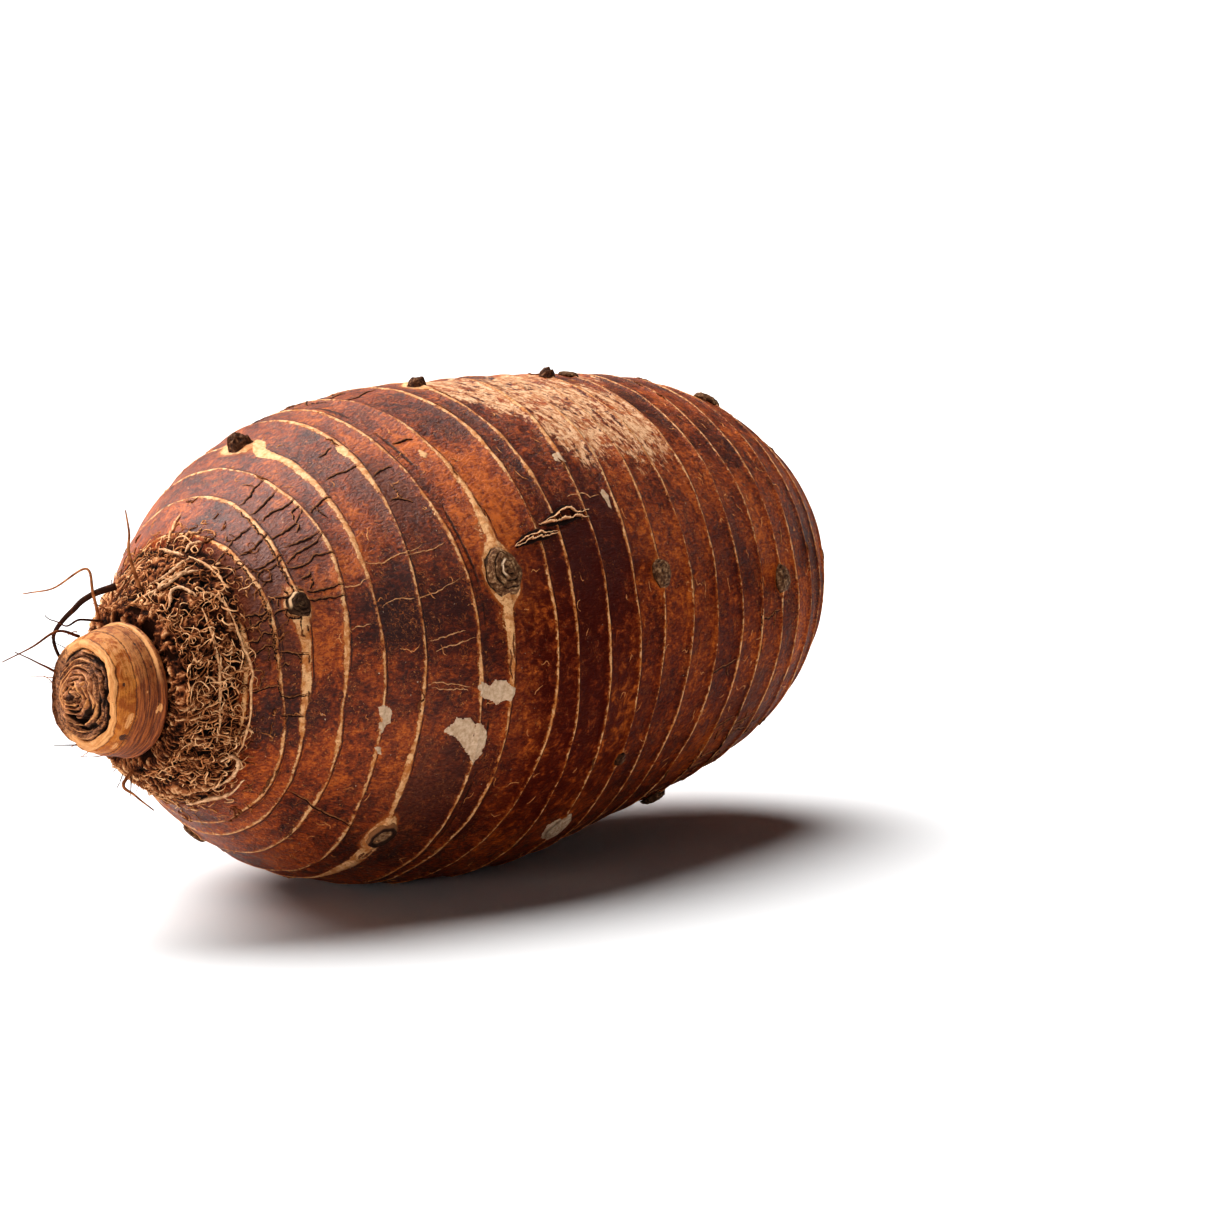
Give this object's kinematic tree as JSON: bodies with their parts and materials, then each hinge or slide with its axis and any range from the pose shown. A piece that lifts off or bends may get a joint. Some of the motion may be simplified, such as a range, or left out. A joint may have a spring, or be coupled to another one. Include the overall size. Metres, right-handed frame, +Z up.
{
  "type": "taro root",
  "caption": "Whole taro corm lying on its side, ringed with leaf scars, with side buds, a root mat and cut leaf stalks at its crown.",
  "frame": {"origin": "on the small flat spot that the corm rests on, below its weight", "axes": "+X along the corm from the cut leaf stalks toward the old base, +Z up with the corm lying on its side"},
  "size_m": [0.262, 0.1196, 0.1172],
  "materials": {
    "corm_skin": "dry corky skin, dark red-brown to rust, with pale tan ring scars and worn patches, satin to matte",
    "dry_leaf_stalk": "dry fibrous stalk sheaths, tan to orange-brown, dark brown on the cut face, matte"
  },
  "bodies": {
    "root": {"corm": "corm_skin", "leaf_stalk_stub": "dry_leaf_stalk"}
  },
  "joints": []
}
